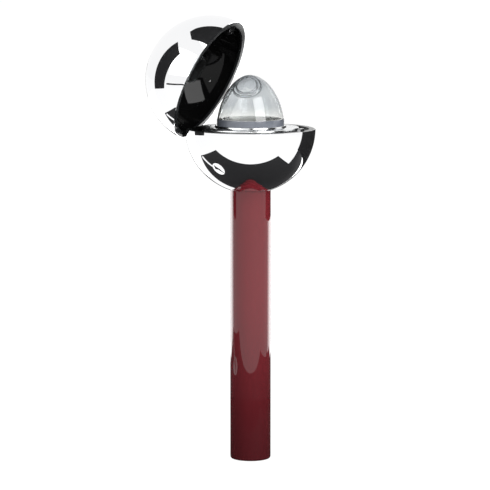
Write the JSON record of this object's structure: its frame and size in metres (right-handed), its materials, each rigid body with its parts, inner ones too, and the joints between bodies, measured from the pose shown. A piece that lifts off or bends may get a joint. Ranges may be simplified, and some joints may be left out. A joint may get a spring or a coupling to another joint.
{
  "type": "hand-held ball shaker",
  "caption": "Hand shaker with a straight handle and a hinged bright ball that opens on a clear dome over a closed chamber of loose pellets.",
  "frame": {"origin": "centre of the flat face at the handle's free end", "axes": "+Z along the handle towards the ball; the hinge is on the -X side, its pin along Y, and the catch on the +X side"},
  "size_m": [0.1069, 0.08, 0.275],
  "materials": {
    "handle_lacquer": "glossy burgundy lacquer",
    "plain_metal": "turned or sheared, plain",
    "dark_steel": "blackened",
    "bright_plate": "mirror plate over a pressed shell",
    "deck_bright": "bright plate, slightly softer than the shells",
    "gloss_black": "glossy black moulding",
    "rim_grey": "dark grey, semi-gloss",
    "band_grey": "blue-grey, glossy",
    "clear_moulding": "clear polished moulding",
    "seal_rubber": "matt",
    "pellet_steel": "bright, polished"
  },
  "bodies": {
    "handle_and_base": {"handle_tube": "handle_lacquer", "handle_end_plug": "handle_lacquer", "handle_top_plug": "plain_metal", "ball_bolt": "dark_steel", "ball_spring_washer": "dark_steel", "ball_saddle": "plain_metal", "base_bowl": "bright_plate", "base_liner": "gloss_black", "base_rim_ring": "rim_grey", "sound_plate": "plain_metal", "deck_plate": "deck_bright", "deck_screws": "dark_steel", "dome_flange": "deck_bright", "flange_screws": "dark_steel", "dome_seal": "seal_rubber", "dome_band": "band_grey", "clear_dome": "clear_moulding", "magnet_cup": "gloss_black", "catch_magnet": "pellet_steel", "magnet_cup_screw": "dark_steel", "hinge_block": "gloss_black", "hinge_block_screws": "dark_steel", "hinge_pin": "pellet_steel"},
    "lid": {"lid_hinge_arm": "gloss_black", "hinge_arm_screws": "dark_steel", "lid_shell": "bright_plate", "lid_liner": "gloss_black", "lid_rim_ring": "rim_grey", "lid_catch_housing": "gloss_black", "lid_striker": "pellet_steel", "catch_housing_screw": "dark_steel"},
    "pellets": {"shaker_pellets": "pellet_steel"}
  },
  "joints": [
    {"name": "lid_hinge", "type": "hinge", "parent": "handle_and_base", "child": "lid", "pos_m": [-0.0362, 0, 0.1994], "axis": [0, 1, 0], "range_deg": [0, 65]},
    {"name": "pellet_rattle", "type": "slide", "parent": "handle_and_base", "child": "pellets", "axis": [0, 0, 1], "range_m": [0, 0.009]}
  ]
}
